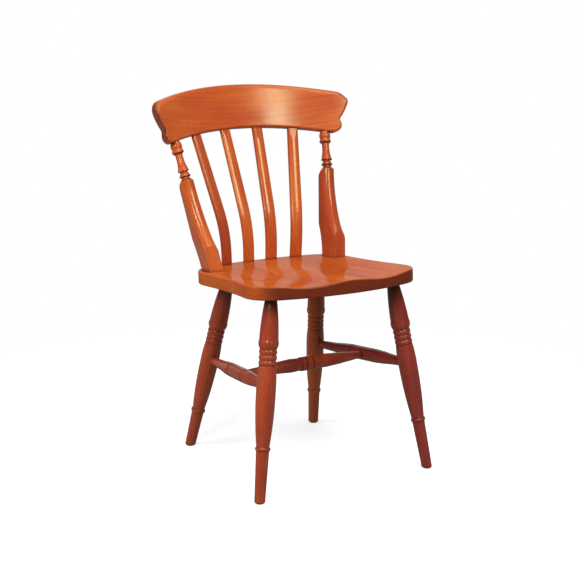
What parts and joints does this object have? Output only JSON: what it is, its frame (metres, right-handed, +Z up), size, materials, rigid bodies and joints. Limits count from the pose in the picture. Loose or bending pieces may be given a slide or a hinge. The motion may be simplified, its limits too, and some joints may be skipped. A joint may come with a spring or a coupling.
{
  "type": "slat back chair",
  "caption": "Wooden dining chair with a saddled seat, turned legs and stretchers, bent back slats between shaped posts and a curved crest rail.",
  "frame": {"origin": "on the floor under the middle of the chair's overall box", "axes": "+Z up, the chair faces -Y, +X towards the sitter's left"},
  "size_m": [0.508, 0.5354, 0.8377],
  "materials": {
    "seat_wood": "glossy lacquer over an orange-brown stain",
    "leg_wood": "glossy lacquer over an orange-brown stain",
    "side_stretcher_wood": "glossy lacquer over an orange-brown stain",
    "cross_stretcher_wood": "glossy lacquer over an orange-brown stain",
    "post_wood": "glossy lacquer over an orange-brown stain",
    "slat_wood": "glossy lacquer over an orange-brown stain",
    "crest_wood": "glossy lacquer over an orange-brown stain",
    "glide_nylon": "dark nylon",
    "fastener_steel": "zinc plated"
  },
  "bodies": {
    "root": {"crest_pins": "fastener_steel", "crest_rail": "crest_wood", "glide_front_left": "glide_nylon", "glide_front_right": "glide_nylon", "glide_rear_left": "glide_nylon", "glide_rear_right": "glide_nylon", "leg_front_left": "leg_wood", "leg_front_right": "leg_wood", "leg_rear_left": "leg_wood", "leg_rear_right": "leg_wood", "post_left": "post_wood", "post_right": "post_wood", "post_screws": "fastener_steel", "seat_board_1": "seat_wood", "seat_board_2": "seat_wood", "seat_board_3": "seat_wood", "seat_board_4": "seat_wood", "seat_board_5": "seat_wood", "slat_1": "slat_wood", "slat_2": "slat_wood", "slat_3": "slat_wood", "slat_4": "slat_wood", "stretcher_cross": "cross_stretcher_wood", "stretcher_side_left": "side_stretcher_wood", "stretcher_side_right": "side_stretcher_wood"}
  },
  "joints": []
}
